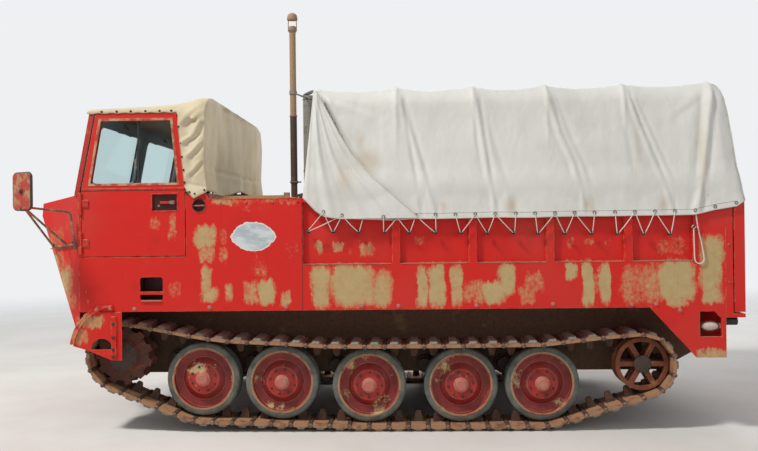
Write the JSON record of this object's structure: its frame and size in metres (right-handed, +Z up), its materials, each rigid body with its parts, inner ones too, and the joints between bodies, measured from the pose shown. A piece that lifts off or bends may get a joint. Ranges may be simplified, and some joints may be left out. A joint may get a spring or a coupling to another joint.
{
  "type": "tracked cargo carrier",
  "caption": "Full-size tracked cargo carrier with a front cab under a canvas roof, an engine deck, and a cargo bed under a bowed tarpaulin.",
  "frame": {"origin": "on the ground, below the middle of the overall length and width", "axes": "+X forward, +Y to the vehicle's left, +Z up"},
  "size_m": [5.89, 3.43, 3.574],
  "materials": {
    "hull_paint": "faded, worn through to tan",
    "dark_paint": "dusty dark paint",
    "wheel_paint": "worn red paint",
    "rusty_steel": "rust",
    "galvanised": "dull",
    "rubber": "weathered grey",
    "glass": "clear",
    "cab_cloth": "coated canvas",
    "tarp_cloth": "vinyl-coated tarpaulin",
    "seat_cover": "vinyl",
    "lamp_glass": "dusty",
    "rope": "braided"
  },
  "bodies": {
    "hull": {"bed_floor": "dark_paint", "bed_front_wall": "hull_paint", "bed_side_left": "hull_paint", "bed_side_right": "hull_paint", "bulkhead": "hull_paint", "cab_bows": "dark_paint", "cab_canvas": "cab_cloth", "cab_floor": "hull_paint", "cab_side_left": "hull_paint", "cab_side_right": "hull_paint", "cargo_bows": "dark_paint", "cargo_tarp": "tarp_cloth", "dash": "hull_paint", "engine_block": "dark_paint", "engine_deck": "hull_paint", "exhaust_stack": "rusty_steel", "final_drives": "dark_paint", "headlamps": "lamp_glass", "hull_tub": "dark_paint", "idlers": "rusty_steel", "intake_stack": "galvanised", "mirrors": "dark_paint", "nose": "hull_paint", "rear_buffers": "rubber", "rear_frame": "hull_paint", "road_wheels": "wheel_paint", "rope_bight": "rope", "rope_hook": "dark_paint", "seat_left": "seat_cover", "seat_pedestals": "dark_paint", "seat_right": "seat_cover", "skirt_lamps": "lamp_glass", "sprocket_guards": "hull_paint", "sprockets": "rusty_steel", "steering_levers": "dark_paint", "tow_eyes": "dark_paint", "tow_pintle": "dark_paint", "track_left": "rusty_steel", "track_right": "rusty_steel", "wheel_arms": "dark_paint", "wheel_tyres": "rubber", "windshield_frame": "hull_paint", "windshield_glass": "glass"},
    "door_left_body": {"door_left": "hull_paint", "door_glass_left": "glass"},
    "door_right_body": {"door_right": "hull_paint", "door_glass_right": "glass"},
    "tailgate_body": {"tailgate": "hull_paint"},
    "lid_left_body": {"deck_lid_left": "hull_paint"},
    "lid_right_body": {"deck_lid_right": "hull_paint"}
  },
  "joints": [
    {"name": "door_left_hinge", "type": "hinge", "parent": "hull", "child": "door_left_body", "pos_m": [2.498, 1.3515, 1.73], "axis": [0, 0, -1], "range_deg": [0, 80]},
    {"name": "door_right_hinge", "type": "hinge", "parent": "hull", "child": "door_right_body", "pos_m": [2.498, -1.3515, 1.73], "axis": [0, 0, 1], "range_deg": [0, 80]},
    {"name": "tailgate_hinge", "type": "hinge", "parent": "hull", "child": "tailgate_body", "pos_m": [-2.858, 0, 0.9445], "axis": [0, -1, 0], "range_deg": [0, 90]},
    {"name": "deck_lid_left_hinge", "type": "hinge", "parent": "hull", "child": "lid_left_body", "pos_m": [0.953, 0.355, 1.925], "axis": [0, -1, 0], "range_deg": [0, 85]},
    {"name": "deck_lid_right_hinge", "type": "hinge", "parent": "hull", "child": "lid_right_body", "pos_m": [0.953, -0.355, 1.925], "axis": [0, -1, 0], "range_deg": [0, 85]}
  ]
}
